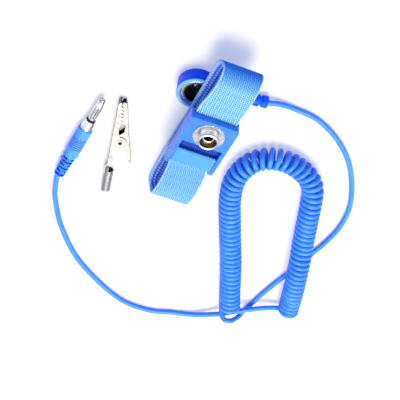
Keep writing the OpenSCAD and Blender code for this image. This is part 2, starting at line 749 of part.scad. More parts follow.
module plug_pin_core() {
    color("silver") on_plug() {
        translate([0, 0, collar_s - core_in])
            cylinder(h = core_in + tip_s - collar_s, r = core_r);
        translate([0, 0, tip_s]) rotate_extrude() polygon(concat([[0, 0], [tip_r, 0],
            [tip_r, tip_l - 0.8]], [for (i = [1:6]) let (t = 15 * i)
            [tip_r * cos(t), tip_l - 0.8 + 0.8 * sin(t)]]));
    }
}

module plug_spring_cage() {
    a = cage_s + cage_gap;
    b = a + cage_slope;
    c = b + cage_mid;
    d = c + cage_slope;
    w = cage_wall;
    color("silver") on_plug() difference() {
        rotate_extrude() polygon([[cage_back_r - w, a], [cage_back_r, a],
            [cage_back_r, a + 0.8], [cage_r, b], [cage_r, c],
            [cage_tip_r, d - 0.8], [cage_tip_r, d], [cage_tip_r - w, d],
            [cage_tip_r - w, d - 0.8], [cage_r - w, c], [cage_r - w, b],
            [cage_back_r - w, a + 0.8]]);
        for (i = [0:cage_slots - 1]) rotate([0, 0, i * 360 / cage_slots])
            translate([0, -cage_slot_w / 2, a + 1.2])
                cube([2 * cage_r, cage_slot_w, d - a - 2.4]);
    }
}

// Zigzag line between the closed jaws, from the root to the tip
tooth_x0 = 11.6;
tooth_x1 = 21.8;
tooth_y0 = 0.8;
tooth_y1 = 2.2;
teeth = floor((tooth_x1 - tooth_x0) / tooth_pitch);
function tooth(i, d) = let (x = tooth_x0 + i * tooth_pitch / 2,
    y = tooth_y0 + (tooth_y1 - tooth_y0) * (x - tooth_x0) / (tooth_x1 - tooth_x0))
    [x, y + d + (i % 2 == 0 ? tooth_h / 2 : -tooth_h / 2)];
function zigzag(d) = [for (i = [0:2 * teeth]) tooth(i, d)];
function reversed(p) = [for (i = [len(p) - 1:-1:0]) p[i]];

// Both cheeks of a jaw, from the outside faces inward
module cheeks(z0, z1) {
    for (z = [z0, z1 - sheet]) translate([0, 0, z]) linear_extrude(sheet) children();
}

module rivet_hole() {
    translate([0, 0, -1]) cylinder(h = jaw_h + 2, r = rivet_r + rivet_gap);
}

module clip_fixed_jaw() {
    back = jaw_back;
    foot = -channel_end;
    mid = jaw_h / 2;
    top = barrel_y + socket_r + 0.05;
    barrel_l = barrel_end - channel_end - 1;
    color("silver") on_clip() difference() {
        union() {
            cheeks(0, jaw_h) {
                polygon(concat([[foot, back], [foot, 1.6], [-10, 2.3], [-6.2, 2.2],
                    [-3.5, 2.2], [3, 0.4], [5.9, 1.7], [11, 1.7]], zigzag(tooth_gap / 2),
                    [[23.6, 2.7], [23.6, back - 0.4], [22.2, back + 0.2]]));
                circle(3.2);
            }
            linear_extrude(jaw_h) polygon([[foot, back], [22.2, back + 0.2],
                [23.6, back - 0.4], [23.6, back - 1], [22, back + 0.2 - sheet],
                [foot, back - sheet]]);
            translate([0, 0, mid - 1.3]) linear_extrude(2.6)
                polygon([[foot - 5.6, top + sheet], [foot - 1.6, top + sheet],
                    [foot + 1, back], [foot + 1, back - sheet], [foot - 0.6, back - sheet],
                    [foot - 1.8, top], [foot - 5.6, top]]);
            translate([-barrel_end, barrel_y, mid]) rotate([0, 90, 0]) difference() {
                cylinder(h = barrel_l, r = socket_r + barrel_wall);
                translate([-5, -5, socket_len]) cube([10, 5.4, 10]);
            }
        }
        translate([-barrel_end - 1, barrel_y, mid]) rotate([0, 90, 0])
            cylinder(h = barrel_l + 1.5, r = socket_r);
        rivet_hole();
    }
}

// Outer line of the moving jaw, from the thumb tab to the tip
thumb_line = [[-12.4, -7.3], [-8.2, -6.3], [6.6, -2.9], [19.8, -0.4], [23.5, 0.5]];

module clip_moving_jaw() {
    n = len(thumb_line);
    low = sheet + cheek_gap;
    high = jaw_h - low;
    color("silver") on_clip() difference() {
        union() {
            cheeks(low, high) {
                polygon(concat(thumb_line, [[23.6, 2]], reversed(zigzag(-tooth_gap / 2)),
                    [[11.1, -0.6], [10.4, -1.1], [6.4, -1.1], [4.2, 1], [0, 2.6],
                        [-3.9, -0.3], [-5.8, -3.4], [-7.8, -4.9], [-12.2, -5.8]]));
                circle(2.6);
            }
            translate([0, 0, low]) linear_extrude(high - low) polygon(concat(thumb_line,
                [for (i = [n - 1:-1:0]) beside(thumb_line, i, sheet)]));
        }
        rivet_hole();
        translate([-10, -6, -1]) cylinder(h = jaw_h + 2, r = 0.45, $fn = 24);
    }
}

module clip_rivet() {
    color("gainsboro") on_clip() difference() {
        union() {
            cylinder(h = jaw_h, r = rivet_r);
            for (z = [-rivet_head_t, jaw_h])
                translate([0, 0, z]) cylinder(h = rivet_head_t, r = rivet_head_r);
        }
        translate([0, 0, -1]) cylinder(h = jaw_h + 2, r = rivet_r - rivet_wall);
    }
}

module clip_spring() {
    pitch = clip_wire * 0.94;
    z0 = jaw_h / 2 - (clip_turns - 1) * pitch / 2;
    mid_r = clip_spring_r + clip_wire / 2;
    color("gray") on_clip() {
        rotate_extrude() polygon(concat(
            [for (i = [0:clip_turns - 1], a = [-60:30:60])
                [mid_r + clip_wire / 2 * cos(a), z0 + i * pitch + clip_wire / 2 * sin(a)]],
            [[clip_spring_r, z0 + (clip_turns - 1) * pitch + clip_wire / 4],
                [clip_spring_r, z0 - clip_wire / 4]]));
        translate([0, -mid_r, z0]) rotate([0, 0, 203]) rotate([0, 90, 0])
            cylinder(h = 7.6, r = clip_wire / 2, $fn = 24);
        translate([0, mid_r, z0 + (clip_turns - 1) * pitch]) rotate([0, 0, 184])
            rotate([0, 90, 0]) cylinder(h = 2.6, r = clip_wire / 2, $fn = 24);
    }
}

elastic_band();
buckle_base();
clamp_lever();
snap_stud();
stud_eyelet();
skin_contact_plate();
snap_housing();
snap_socket_ring();
socket_liner();
contact_spring();
snap_contact_disc();
series_resistor();
resistor_leads();
snap_strain_relief();
cord_snap_side();
cord_coil();
cord_plug_side();
plug_strain_relief();
plug_handle();
plug_collar();
plug_pin_core();
plug_spring_cage();
clip_fixed_jaw();
clip_moving_jaw();
clip_rivet();
clip_spring();
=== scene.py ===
"""An ESD wrist strap: band with a cam buckle, curly grounding cord, banana plug and clip.

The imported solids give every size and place. Each class below dresses one sub-assembly.
"""

import logging
import random
from dataclasses import dataclass, field
from enum import Enum
from functools import partial
from math import cos, pi, radians, sin
from typing import Any, Callable, Optional, Sequence

import bmesh
import bpy
from bmesh import ops
from mathutils import Matrix, Vector, noise

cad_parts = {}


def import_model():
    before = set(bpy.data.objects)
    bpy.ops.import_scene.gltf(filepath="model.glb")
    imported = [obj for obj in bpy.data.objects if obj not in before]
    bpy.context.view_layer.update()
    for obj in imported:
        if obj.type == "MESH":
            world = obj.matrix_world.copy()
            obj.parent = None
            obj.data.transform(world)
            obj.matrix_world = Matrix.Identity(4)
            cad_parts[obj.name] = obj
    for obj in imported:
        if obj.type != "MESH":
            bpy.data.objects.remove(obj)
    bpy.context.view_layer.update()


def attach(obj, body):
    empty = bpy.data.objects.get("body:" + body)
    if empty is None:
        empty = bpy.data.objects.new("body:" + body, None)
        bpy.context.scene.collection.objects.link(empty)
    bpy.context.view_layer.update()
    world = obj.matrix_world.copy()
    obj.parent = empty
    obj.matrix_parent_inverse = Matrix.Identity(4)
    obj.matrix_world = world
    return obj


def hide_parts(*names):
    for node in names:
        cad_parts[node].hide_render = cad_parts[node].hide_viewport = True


Pair = tuple[float, float]
Point = tuple[float, float, float]
Route = Sequence[tuple[float, ...]]
Stops = Sequence[tuple[float, str]]
Material = bpy.types.Material
Socket = bpy.types.NodeSocket
Piece = bpy.types.Object
Mesh = bmesh.types.BMesh
Face = bmesh.types.BMFace
Corner = bmesh.types.BMVert
Palette = dict[str, Material]

LOG = logging.getLogger("wrist_strap")
MM = 0.001
# The layout's own zero, as millimetres of the part.
LAYOUT_SHIFT = Vector((-16.7, 14.8, 0.02))
# The band leans on the cap: it turns by LEAN about the line where it touches the table.
LEAN = radians(9.0)
TOUCH_X = 44.0
# The middle of the cap, in the band's frame.
CAP_AT = (-8.6, -10.9)
# Where the cord enters the plug, in the layout, and the way the plug points, in degrees.
PLUG_AT = (65.9, -52.2, 3.6)
PLUG_TURN = 175.5
WHITE = (1.0, 1.0, 1.0, 1.0)


# ---- places

def laid(x: float, y: float, z: float) -> Vector:
    """A point of the layout in millimetres, as a point of the part in metres."""
    return (Vector((x, y, z)) + LAYOUT_SHIFT) * MM


def band_frame() -> Matrix:
    """The leaning frame of the band: millimetres from the stud, to metres of the part."""
    lean = (Matrix.Translation((TOUCH_X, 0, 0)) @ Matrix.Rotation(LEAN, 4, "Y")
            @ Matrix.Translation((-TOUCH_X, 0, 0)))
    return Matrix.Scale(MM, 4) @ Matrix.Translation(LAYOUT_SHIFT) @ lean


def toward(angle: float) -> Vector:
    """The level direction at an angle in degrees."""
    return Vector((cos(radians(angle)), sin(radians(angle)), 0))


def raised(route: Route, height: float) -> list[Vector]:
    """The points of a route, with a height for those that name none."""
    return [Vector((*place, height)[:3]) for place in route]


def catmull(points: Sequence[Vector], spacing: float) -> list[Vector]:
    """A smooth line through points.

    Args:
        points: the points that the line passes, in millimetres.
        spacing: about how far apart the samples lie, in millimetres.

    Returns:
        The samples, from the first point to the last.
    """
    line: list[Vector] = []
    count = len(points)
    for i in range(count - 1):
        a, b = points[max(i - 1, 0)], points[i]
        c, d = points[i + 1], points[min(i + 2, count - 1)]
        steps = max(2, round((c - b).length / spacing))
        for k in range(steps):
            t = k / steps
            line.append(0.5 * (2 * b + (c - a) * t + (2 * a - 5 * b + 4 * c - d) * t * t
                               + (3 * b - a - 3 * c + d) * t ** 3))
    line.append(points[-1].copy())
    return line


def ease(value: float, low: float, high: float) -> float:
    """A smooth step: 0 up to the low value and 1 from the high one."""
    t = max(0.0, min(1.0, (value - low) / (high - low)))
    return t * t * (3 - 2 * t)


def middle_of(face: Face, frame: Matrix) -> Vector:
    """A face's middle, in the millimetres of a frame."""
    return frame.inverted() @ face.calc_center_median()


def evenly(line: Sequence[Vector], spacing: float) -> list[Vector]:
    """A line sampled again at even steps.

    Args:
        line: the samples of a line.
        spacing: the wanted step, in the line's own unit.

    Returns:
        Samples at equal distances, with both ends kept.
    """
    reach = [0.0]
    for a, b in zip(line, line[1:]):
        reach.append(reach[-1] + (b - a).length)
    count = max(2, round(reach[-1] / spacing))
    result, k = [], 0
    for i in range(count + 1):
        s = reach[-1] * i / count
        while k < len(line) - 2 and reach[k + 1] < s:
            k += 1
        span = max(reach[k + 1] - reach[k], 1e-9)
        result.append(line[k].lerp(line[k + 1], min(1.0, (s - reach[k]) / span)))
    return result


# ---- finishes

def linear(code: str) -> tuple[float, float, float, float]:
    """An sRGB hex colour as the linear RGBA that shaders take."""
    parts = [int(code[i:i + 2], 16) / 255 for i in (1, 3, 5)]
    low = [c / 12.92 if c <= 0.04045 else ((c + 0.055) / 1.055) ** 2.4 for c in parts]
    return (low[0], low[1], low[2], 1.0)


class Nodes:
    """The node tree of a material or a world, emptied and filled again."""

    def __init__(self, owner: Material | bpy.types.World) -> None:
        """Empties the tree of its owner.

        Args:
            owner: the material or world.
        """
        owner.use_nodes = True
        self.owner = owner
        self.tree = owner.node_tree
        self.tree.nodes.clear()

    def add(self, kind: str, inputs: Optional[dict[Any, Any]] = None,
            take: int | str = 0, **settings: Any) -> Socket:
        """Adds a node with its settings, values and links.

        Args:
            kind: the node's type name, without the word that all share.
            inputs: socket name or number to a value, or to the socket that feeds it.
            take: the output that is wanted.
            settings: attributes of the node.

        Returns:
            That output.
        """
        node = self.tree.nodes.new("ShaderNode" + kind)
        for name, value in settings.items():
            setattr(node, name, value)
        for key, value in (inputs or {}).items():
            if isinstance(value, Socket):
                self.tree.links.new(value, node.inputs[key])
            else:
                node.inputs[key].default_value = value
        return node.outputs[take]

    def step(self, kind: str, a: Any, b: Any = 0.0, c: Any = 0.0) -> Socket:
        """One arithmetic step, on values or on the sockets that give them."""
        return self.add("Math", {0: a, 1: b, 2: c}, operation=kind)

    def blend(self, share: Socket, under: Any, over: Any) -> Socket:
        """Lays a colour over a colour, by a share from 0 to 1."""
        return self.add("Mix", {0: share, 6: under, 7: over}, 2, data_type="RGBA")

    def ramp(self, source: Socket, stops: Stops) -> Socket:
        """Colours a value.

        Args:
            source: the value, from 0 to 1.
            stops: place and hex colour of each stop, in rising order.

        Returns:
            The colour.
        """
        colour = self.add("ValToRGB", {0: source})
        elements = colour.node.color_ramp.elements
        while len(elements) < len(stops):
            elements.new(0.5)
        for element, (place, code) in zip(elements, stops):
            element.position = place
            element.color = linear(code)
        return colour

    def profile(self, value: Socket, inner: float, outer: float) -> Socket:
        """One at the middle of each unit of a value, falling to zero at its ends.

        Args:
            value: a value that grows by one for each repeat.
            inner: distance from the middle at which it starts to fall.
            outer: distance from the middle at which it reaches zero.

        Returns:
            The repeating profile.
        """
        centred = self.step("SUBTRACT", self.step("FRACT", value), 0.5)
        return self.add("MapRange", {
            "Value": self.step("ABSOLUTE", centred), "From Min": inner,
            "From Max": outer, "To Min": 1.0, "To Max": 0.0})

    def surface(self, shader: Socket, kind: str = "Material") -> None:
        """Makes a shader the tree's result."""
        node = self.tree.nodes.new("ShaderNodeOutput" + kind)
        self.tree.links.new(shader, node.inputs["Surface"])


@dataclass(frozen=True)
class Plastic:
    """Injection-moulded ABS, PP or PVC: one even colour and a soft gloss.

    The colour drifts a little where the melt flowed, the skin has a faint orange peel,
    and light spreads under it, which keeps the shaded sides coloured.
    """

    name: str
    colour: str
    deep: str
    roughness: float = 0.34
    peel_mm: float = 1.6
    peel: float = 0.05
    flow_mm: float = 9.0
    shine: float = 0.3
    glow: float = 0.9
    glow_mm: float = 5.0
    glow_reach: Point = (0.06, 0.22, 1.0)

    def build(self) -> Material:
        """Makes the material.

        Returns:
            The material, with its pattern on Object coordinates.
        """
        tree = Nodes(bpy.data.materials.new(self.name))
        place = tree.add("TexCoord", take="Object")
        flow = tree.add("TexNoise", {
            "Vector": place, "Scale": 1 / (self.flow_mm * MM), "Detail": 3.0})
        fine = tree.add("TexNoise", {
            "Vector": place, "Scale": 1 / (self.peel_mm * MM), "Detail": 4.0})
        gloss = tree.add("MapRange", {
            "Value": fine, "From Min": 0.3, "From Max": 0.7,
            "To Min": self.roughness - 0.05, "To Max": self.roughness + 0.07})
        bump = tree.add("Bump", {
            "Height": fine, "Strength": self.peel, "Distance": 0.1 * MM})
        tree.surface(tree.add("BsdfPrincipled", {
            "Base Color": tree.ramp(flow, [(0.3, self.deep), (0.7, self.colour)]),
            "Roughness": gloss, "Normal": bump, "IOR": 1.5,
            "Specular IOR Level": self.shine, "Subsurface Weight": self.glow,
            "Subsurface Scale": self.glow_mm * MM, "Subsurface Radius": self.glow_reach}))
        return tree.owner


@dataclass(frozen=True)
class Metal:
    """Nickel-plated brass or steel: bright, with faint drawing marks.

    Handling leaves soft patches of dulled plate, which break up the long highlights.
    """

    name: str
    colour: str
    dull: str
    roughness: float = 0.16
    mark_mm: float = 0.7
    marks: float = 0.12
    patch_mm: float = 3.5

    def build(self) -> Material:
        """Makes the material.

        Returns:
            The material, with its pattern on Object coordinates.
        """
        tree = Nodes(bpy.data.materials.new(self.name))
        place = tree.add("TexCoord", take="Object")
        patch = tree.add("TexNoise", {
            "Vector": place, "Scale": 1 / (self.patch_mm * MM), "Detail": 5.0,
            "Roughness": 0.6})
        fine = tree.add("TexNoise", {
            "Vector": place, "Scale": 1 / (self.mark_mm * MM), "Detail": 3.0})
        gloss = tree.add("MapRange", {
            "Value": patch, "From Min": 0.35, "From Max": 0.65,
            "To Min": self.roughness + 0.1, "To Max": self.roughness})
        bump = tree.add("Bump", {
            "Height": fine, "Strength": self.marks, "Distance": 0.08 * MM})
        tree.surface(tree.add("BsdfPrincipled", {
            "Base Color": tree.ramp(patch, [(0.35, self.dull), (0.6, self.colour)]),
            "Metallic": 1.0, "Roughness": gloss, "Normal": bump}))
        return tree.owner


class Side(Enum):
    """The kinds of surface that a woven band shows."""

    OUTER = 0
    SKIN = 1
    SELVAGE = 2
    # Painted shade on the cloth seen down the lever's slot.
    SHADED_IN_SLOT = 3


@dataclass(frozen=True)
class Weave:
    """Woven elastic of polyester over rubber: fine ribs crossed by short dark stitches.

    The weave map holds millimetres: U runs along the band and V across it. A vertex
    attribute lays painted shade on the near fold, which turns from the light, and a
    little where the upper layer slopes down to the bar.
    """

    side: Side
    light: str
    mid: str
    dark: str
    rib_mm: float = 1.05
    stitch_mm: float = 1.45
    line_mm: float = 2.1
    # The colour of the painted shade laid on by the band's vertex attribute.
    shade_between: str = "#127ad4"
    silver: str = "#e2eeff"
    dash_mm: float = 1.7
    dash_row_mm: float = 2.0
    edge_mm: float = 10.9

    def build(self) -> Material:
        """Makes the material for one side of the band.

        Returns:
            The material, with its pattern on the weave map.
        """
        name = "woven_band_" + self.side.name.lower()
        tree = Nodes(bpy.data.materials.new(name))
        uv = tree.add("UVMap", uv_map="weave")
        along, across, _ = tree.add("SeparateXYZ", {0: uv}).node.outputs
        lean = tree.step("MULTIPLY_ADD", along, 0.2, across)
        stitch = self.strokes(tree, tree.step("DIVIDE", lean, self.rib_mm), along,
                              (self.stitch_mm, 0.37), (0.12, 0.32), (0.3, 0.46))
        line = tree.step("DIVIDE", across, self.line_mm)
        thread = tree.step("MULTIPLY", tree.profile(line, 0.03, 0.13), 0.5)
        mark = tree.step("MAXIMUM", stitch, thread)
        yarn = tree.add("TexNoise", {"Vector": uv, "Scale": 0.9, "Detail": 5.0})
        cloth = tree.ramp(yarn, [(0.35, self.mid), (0.65, self.light)])
        tint = tree.blend(mark, cloth, linear(self.dark))
        if self.side is Side.SKIN:
            row = tree.step("ADD", across, self.edge_mm)
            dash = self.strokes(tree, tree.step("DIVIDE", row, self.dash_row_mm), along,
                                (self.dash_mm, 0.5), (0.2, 0.3), (0.31, 0.39))
            tint = tree.blend(dash, tint, linear(self.silver))
        # Painted shade on the near fold and on the slope to the bar, from the band's vertex
        # attribute.
        if self.side is Side.OUTER:
            opened = tree.add("Attribute", take="Fac", attribute_name="open")
            tint = tree.blend(opened, tint, linear(self.shade_between))
        height = tree.step("MULTIPLY_ADD", yarn, -0.3, mark)
        bump = tree.add("Bump", {
            "Height": height, "Strength": 0.6, "Distance": 0.2 * MM}, invert=True)
        tree.surface(tree.add("BsdfPrincipled", {
            "Base Color": tint, "Roughness": 0.85, "Normal": bump,
            "Specular IOR Level": 0.2, "Sheen Weight": 0.1, "Sheen Roughness": 0.5,
            "Sheen Tint": linear("#d8f0ff")}))
        return tree.owner

    @staticmethod
    def strokes(tree: Nodes, row: Socket, along: Socket, repeat: Pair, wide: Pair,
                long: Pair) -> Socket:
        """Marks short strokes in rows, each row's set on from the last.

        Args:
            tree: the material's nodes.
            row: a value that grows by one for each row.
            along: millimetres along the band.
            repeat: from stroke to stroke in millimetres, and the share that a row is
                set on.
            wide: the profile of a stroke across its row.
            long: its profile along the row.

        Returns:
            One on a stroke and zero beside it.
        """
        shift = tree.step("MULTIPLY", tree.step("FLOOR", row), repeat[1])
        place = tree.step("MULTIPLY_ADD", along, 1 / repeat[0], shift)
        return tree.step("MULTIPLY", tree.profile(row, *wide), tree.profile(place, *long))


def make_palette() -> Palette:
    """Builds all the finishes.

    Returns:
        Each finish by its short name.
    """
    finishes: dict[str, Plastic | Metal | Weave] = {
        # Clear sky blue with a soft sheen; the lever is a shade lighter than its base.
        "buckle": Plastic("abs_buckle", "#4893f6", "#418bf0", 0.3),
        "lever": Plastic("abs_lever", "#5cabff", "#54a3fb", 0.3),
        # The deepest blue of all, with painted light on the rim's upward faces.
        "cap": Plastic("pp_snap_cap", "#0a6cf0", "#0666ea", 0.34, shine=0.12),
        "lip": Plastic("pp_cap_painted_light_top", "#80bdff", "#76b6ff", 0.3),
        # Matt and soft to the touch, with painted shade in the relief's slots and the
        # handle's grooves.
        "plug": Plastic("pvc_plug_handle", "#64b0ff", "#5ca8fc", 0.42),
        "relief": Plastic("pvc_strain_relief", "#4490e0", "#3d88da", 0.42, shine=0.2),
        "slot": Plastic("pvc_painted_slot_shade", "#1c50dc", "#1747cf", 0.5),
        # A glossy skin, so that each turn carries a bright line.
        "sheath": Plastic("pu_cord_sheath", "#489ef4", "#4096f0", 0.36, peel_mm=4.0,
                          peel=0.03, shine=0.45, glow_mm=3.0),
        # Bright metals mirror the room in hard whites and greys.
        "nickel": Metal("bright_nickel", "#bfbfc0", "#96969a"),
        "ring": Metal("polished_socket_nickel", "#ececec", "#c4c4c5", 0.14, marks=0.05),
        # Dull plate on the clip, with a painted dark reflection on its upright sides and
        # painted shade inside the jaws.
        "jaw": Metal("nickel_sheet_steel", "#a4a8ad", "#90949b", 0.38, marks=0.2),
        "cut": Metal("steel_side_painted_dark", "#64666a", "#505256", 0.35),
        "inner": Metal("steel_inside_painted_shade", "#1d1c1b", "#0f0e0e", 0.5),
        # A warm brown bowl and a dark spring, from thin and worn plate.
        "bowl": Metal("aged_nickel_bowl", "#94806d", "#6b5a4b", 0.3),
        "spring": Metal("drawn_spring_steel", "#5f5e5d", "#444342", 0.3),
        # Near black: the cap's liner, darkened as painted shade so that the socket reads as
        # a deep hole, and painted shade inside the eyelet's hole.
        "liner": Plastic("black_liner_and_hole_shade", "#1b1a1c", "#0d0c0d", 0.25, glow=0.0),
        "resistor": Plastic("lacquered_resistor", "#d8bd8c", "#c9ac78", 0.3, glow=0.0),
        "fray": Plastic("frayed_polyester", "#eef6ff", "#d3e7fc", 0.7, glow=0.0),
        # Pale ribs outside, silver dashes inside, a pale edge painted lighter to make up
        # for the shade on the band's sides, and painted shade on the cloth seen down the
        # lever's slot.
        **{side.name: Weave(side, *look) for side, *look in (
            (Side.OUTER, "#a1dce3", "#8cd1df", "#2a70cc"),
            (Side.SKIN, "#6ca6fa", "#5e9af4", "#3468d4"),
            # The edge is painted paler than the ribs, to make up for the shade on the
            # band's sides.
            (Side.SELVAGE, "#d0eeff", "#bde3ff", "#9ccbfa", 0.5, 0.9),
            # The last finish is painted shade for the cloth down the lever's slot.
            (Side.SHADED_IN_SLOT, "#2c55cf", "#2148c2", "#0f2a96"))}}
    return {key: finish.build() for key, finish in finishes.items()}


# ---- mesh helpers

def linked(name: str, data: bpy.types.ID) -> Piece:
    """A new object over its data, linked to the scene."""
    piece = bpy.data.objects.new(name, data)
    bpy.context.scene.collection.objects.link(piece)
    return piece


def set_down(bm: Mesh, place: Matrix) -> None:
    """Moves a mesh from its own frame to the part's, and turns its faces outward."""
    ops.transform(bm, matrix=place, verts=bm.verts)
    ops.recalc_face_normals(bm, faces=bm.faces)


def mesh_object(name: str, bm: Mesh, materials: Sequence[Material]) -> Piece:
    """Turns a bmesh into a smooth-shaded object at the origin.

    Args:
        name: the piece's name.
        bm: the mesh, which is freed.
        materials: its finishes, in slot order.

    Returns:
        The object, linked to the scene.
    """
    mesh = bpy.data.meshes.new(name)
    for face in bm.faces:
        face.smooth = True
    bm.to_mesh(mesh)
    bm.free()
    for material in materials:
        mesh.materials.append(material)
    return linked(name, mesh)


def looped(bm: Mesh, ring: list[Corner]) -> list[bmesh.types.BMEdge]:
    """The edges that join a ring's corners."""
    return [bm.edges.new(pair) for pair in zip(ring, ring[1:] + ring[:1])]


def soften(piece: Piece, width_mm: float) -> None:
    """Rounds a hard piece's edges with a bevel and evens its shading.

    Args:
        piece: the piece.
        width_mm: the bevel's width, in millimetres.
    """
    bevel = piece.modifiers.new("rounded_edges", "BEVEL")
    bevel.width = width_mm * MM
    bevel.segments = 3
    bevel.limit_method = "ANGLE"
    bevel.angle_limit = radians(32)
    piece.modifiers.new("even_shading", "WEIGHTED_NORMAL").keep_sharp = True


# ---- studio

@dataclass(frozen=True)
class Lamp:
    """One soft square lamp: its place in layout millimetres, metres, watts and colour."""

    name: str
    place: Point
    size: float
    power: float
    colour: str


@dataclass
class Studio:
    """Camera, lamps, white table and white surroundings."""

    eye: Point = (-356.3, -158.3, 536.2)
    aim: Point = (57.3, 18.9, 0.0)
    lens: float = 126.0
    lamp_aim: Point = (60, 20, 0)
    # A warm key behind the strap draws the shadows; two weak fills open the dark sides.
    lamps: tuple[Lamp, ...] = (
        Lamp("key_from_behind", (285, 225, 1470), 1.05, 33.0, "#ffefd4"),
        Lamp("fill_from_right", (60, -1250, 480), 1.2, 2.2, "#e2efff"),
        Lamp("fill_from_left", (-350, 1100, 820), 1.4, 2.2, "#f8fbff"))
    floor_size: float = 4.0
    # The table's share of plain white: a part near the strap, and all of it far away.
    floor_glow: float = 0.4
    glow_from: float = 0.2
    glow_to: float = 0.55
    tone: tuple[float, ...] = (0.97, 0.97, 0.97, 1.0)
    bounce: str = "#649af8"
    # The sky that lights is blue and deeper toward the viewer. The one that metal mirrors
    # is grey low down, as a dark room seen past the table.
    sky: Stops = ((0.0, "#2464f4"), (0.5, "#86b4ff"), (1.0, "#c6e0ff"))
    sky_toward: Point = (0.46, 0.2, 0)
    sky_level: float = 0.6
    mirrored: Stops = ((0.0, "#ffffff"), (0.14, "#d5d8dd"), (0.28, "#878c95"),
                       (0.42, "#d5d8dd"), (0.6, "#f4f6f8"), (0.9, "#fafbfc"),
                       (1.0, "#b9bec6"))

    def camera(self) -> None:
        """Places the camera, which is held upside down, and makes it the scene's."""
        eye = laid(*self.eye)
        ahead = (laid(*self.aim) - eye).normalized()
        right = ahead.cross(Vector((0, 0, 1))).normalized()
        up = right.cross(ahead)
        turned = Matrix((-right, -up, -ahead)).transposed().to_4x4()
        data = bpy.data.cameras.new("camera")
        data.lens = self.lens
        data.sensor_fit = "HORIZONTAL"
        data.clip_start, data.clip_end = 0.01, 20.0
        camera = linked("camera", data)
        camera.matrix_world = Matrix.Translation(eye) @ turned
        bpy.context.scene.camera = camera

    def hang(self, lamp: Lamp) -> None:
        """Adds one lamp, facing the middle of the strap."""
        data = bpy.data.lights.new(lamp.name, "AREA")
        data.shape = "SQUARE"
        data.size = lamp.size
        data.energy = lamp.power
        data.color = linear(lamp.colour)[:3]
        start = laid(*lamp.place)
        facing = (laid(*self.lamp_aim) - start).to_track_quat("-Z", "Y").to_matrix()
        linked(lamp.name, data).matrix_world = Matrix.Translation(start) @ facing.to_4x4()

    @staticmethod
    def seen(tree: Nodes) -> Socket:
        """One for rays that show the surroundings, by eye, by mirror or through glass."""
        path = tree.add("LightPath").node.outputs
        first = tree.step("MAXIMUM", path["Is Camera Ray"], path["Is Glossy Ray"])
        return tree.step("MAXIMUM", first, path["Is Transmission Ray"])

    def floor(self) -> None:
        """A white table that keeps a soft shadow and looks white from every side.

        Rays that light the strap from below find it blue, as light that has crossed a
        blue cord and band is.
        """
        tree = Nodes(bpy.data.materials.new("white_table_laminate"))
        place = tree.add("TexCoord", take="Object")
        away = tree.add("VectorMath", {0: place}, "Value", operation="LENGTH")
        glow_here = tree.add("MapRange", {
            "Value": away, "From Min": self.glow_from, "From Max": self.glow_to,
            "To Min": self.floor_glow, "To Max": 1.0})
        share = tree.step("MULTIPLY", self.seen(tree), glow_here)
        bounced = tree.blend(tree.add("LightPath", take="Is Diffuse Ray"),
                             self.tone, linear(self.bounce))
        matt = tree.add("BsdfDiffuse", {"Color": bounced})
        glow = tree.add("Emission", {"Color": WHITE})
        tree.surface(tree.add("MixShader", {0: share, 1: matt, 2: glow}))
        bm = bmesh.new()
        ops.create_grid(bm, x_segments=1, y_segments=1, size=self.floor_size)
        ops.translate(bm, verts=bm.verts, vec=(0, 0, -0.00005))
        mesh_object("white_table", bm, [tree.owner])

    def surroundings(self) -> None:
        """A white room: bluish where it lights, and greyer where metal mirrors it."""
        tree = Nodes(bpy.data.worlds.new("white_room"))
        ahead = tree.add("TexCoord", take="Generated")
        height = tree.add("SeparateXYZ", {0: ahead}, "Z")
        shown = tree.blend(tree.add("LightPath", take="Is Glossy Ray"), WHITE,
                           tree.ramp(height, self.mirrored))
        facing = tree.add("VectorMath", {0: ahead, 1: self.sky_toward}, "Value",
                          operation="DOT_PRODUCT")
        hue = tree.ramp(tree.step("ADD", facing, 0.5), self.sky)
        soft = tree.add("Background", {"Color": hue, "Strength": self.sky_level})
        plain = tree.add("Background", {"Color": shown})
        mix = tree.add("MixShader", {0: self.seen(tree), 1: soft, 2: plain})
        tree.surface(mix, "World")
        bpy.context.scene.world = tree.owner

    def build(self) -> None:
        """Sets the whole studio."""
        self.camera()
        self.floor()
        self.surroundings()
        for lamp in self.lamps:
            self.hang(lamp)
        bpy.context.scene.view_settings.view_transform = "Standard"


# ---- cord

